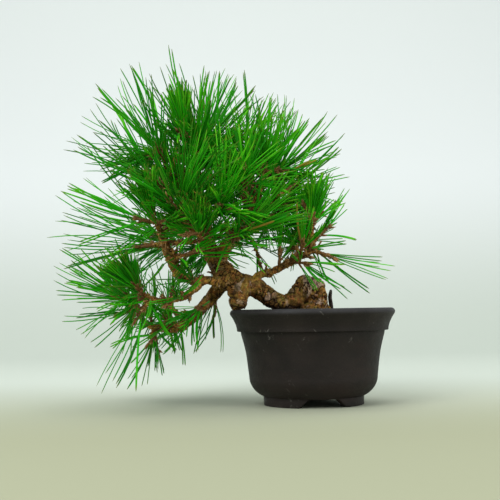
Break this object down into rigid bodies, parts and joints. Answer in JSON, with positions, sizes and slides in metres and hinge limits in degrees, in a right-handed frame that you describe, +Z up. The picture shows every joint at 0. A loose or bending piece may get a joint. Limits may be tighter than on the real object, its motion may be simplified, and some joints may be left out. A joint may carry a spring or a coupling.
{
  "type": "bonsai tree in a pot",
  "caption": "Small black pine bonsai with a snaking trunk and long needle tufts, growing in a round unglazed clay pot with a notched ring foot.",
  "frame": {"origin": "centre of the footprint of the whole object's box, on the surface the pot stands on", "axes": "+Z up, +X to the right of the tree as its front is seen, +Y away from the viewer; the tree leans towards -X"},
  "size_m": [0.3052, 0.2406, 0.3101],
  "materials": {
    "fired_clay": "unglazed, matt, dark brown-grey, with faint chalky marks",
    "akadama_soil": "baked clay granules",
    "pumice_gravel": "coarse granules",
    "screen_plastic": "moulded screen",
    "anodised_wire": "brown anodised, dull",
    "pine_bark": "cracked and scaly bark",
    "pine_needles": "waxy green needles, lighter at the tips"
  },
  "bodies": {
    "root": {"pot": "fired_clay", "soil": "akadama_soil", "drainage_gravel": "pumice_gravel", "drain_mesh": "screen_plastic", "mesh_clip": "anodised_wire", "tie_wire": "anodised_wire", "trunk_and_branches": "pine_bark", "needle_tuft_apex_front": "pine_needles", "needle_tuft_apex_mid": "pine_needles", "needle_tuft_apex_back": "pine_needles", "needle_tuft_crown_left_a": "pine_needles", "needle_tuft_crown_left_b": "pine_needles", "needle_tuft_crown_left_c": "pine_needles", "needle_tuft_crown_left_back": "pine_needles", "needle_tuft_left_fan": "pine_needles", "needle_tuft_left_long_a": "pine_needles", "needle_tuft_left_long_b": "pine_needles", "needle_tuft_left_long_c": "pine_needles", "needle_tuft_low_fan_a": "pine_needles", "needle_tuft_low_fan_b": "pine_needles", "needle_tuft_low_fan_c": "pine_needles", "needle_tuft_low_sweep": "pine_needles", "needle_tuft_low_under": "pine_needles", "needle_tuft_low_fan_back": "pine_needles", "needle_tuft_low_back": "pine_needles", "needle_tuft_front_fan": "pine_needles", "needle_tuft_front_up": "pine_needles", "needle_tuft_front_right": "pine_needles", "needle_tuft_middle_a": "pine_needles", "needle_tuft_middle_b": "pine_needles", "needle_tuft_upper_a": "pine_needles", "needle_tuft_upper_b": "pine_needles", "needle_tuft_upper_c": "pine_needles", "needle_tuft_upper_d": "pine_needles", "needle_tuft_right_a": "pine_needles", "needle_tuft_right_b": "pine_needles", "needle_tuft_right_c": "pine_needles", "needle_tuft_arm_fan": "pine_needles", "needle_tuft_arm_out": "pine_needles", "needle_tuft_arm_low": "pine_needles", "needle_tuft_arm_back": "pine_needles", "needle_tuft_under_left": "pine_needles", "needle_tuft_under_middle": "pine_needles", "needle_tuft_back_up": "pine_needles", "needle_tuft_back_low": "pine_needles", "needle_tuft_back_left": "pine_needles", "needle_tuft_back_crown": "pine_needles", "needle_tuft_back_right": "pine_needles"}
  },
  "joints": []
}
